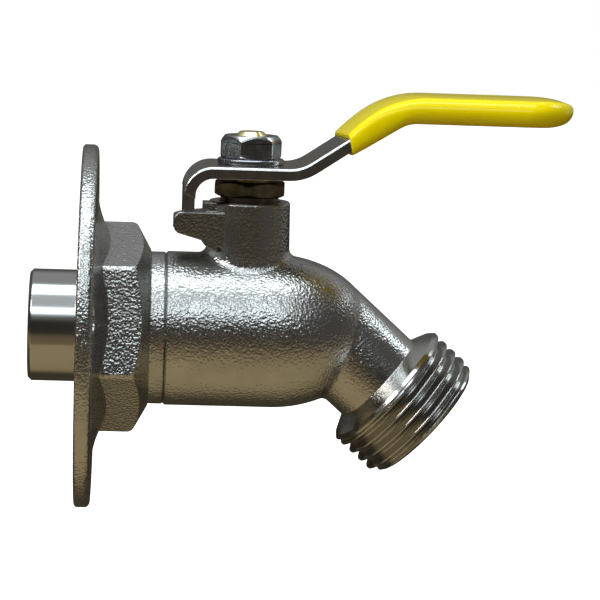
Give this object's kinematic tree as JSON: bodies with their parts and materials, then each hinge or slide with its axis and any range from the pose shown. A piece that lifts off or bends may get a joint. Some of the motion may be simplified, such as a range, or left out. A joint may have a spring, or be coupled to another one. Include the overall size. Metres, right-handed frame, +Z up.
{
  "type": "sillcock",
  "caption": "Quarter-turn ball-valve sillcock with a round wall flange, solder stub, wrench hexagon, downward hose-threaded spout and a bent steel lever in a yellow vinyl sleeve.",
  "frame": {"origin": "where the barrel axis meets the wall face of the flange", "axes": "+X out of the wall along the barrel, +Z up along the stem, +Y to the left of someone looking out from the wall"},
  "size_m": [0.099, 0.067, 0.078],
  "materials": {
    "plated_casting": "nickel-plated sand casting, satin and finely rough",
    "bright_plating": "bright plated and polished",
    "bare_brass": "turned brass",
    "dark_brass": "darkened brass",
    "seal_plastic": "white low-friction plastic",
    "plated_steel": "pressed steel, bright zinc plating",
    "zinc_steel": "dull zinc plating",
    "yellow_vinyl": "glossy dipped vinyl"
  },
  "bodies": {
    "casting": {"valve_body": "plated_casting", "inlet_adapter": "plated_casting", "seat_inlet": "seal_plastic", "seat_outlet": "seal_plastic", "thrust_washer": "seal_plastic", "packing_lower": "seal_plastic", "packing_upper": "seal_plastic", "packing_nut": "dark_brass"},
    "handle": {"ball": "bright_plating", "stem": "bare_brass", "lever": "plated_steel", "grip": "yellow_vinyl", "lever_washer": "zinc_steel", "lever_nut": "zinc_steel"}
  },
  "joints": [
    {"name": "lever_turn", "type": "hinge", "parent": "casting", "child": "handle", "pos_m": [0.03076, 0, 0.024], "axis": [0, 0, 1], "range_deg": [-90, 0]}
  ]
}
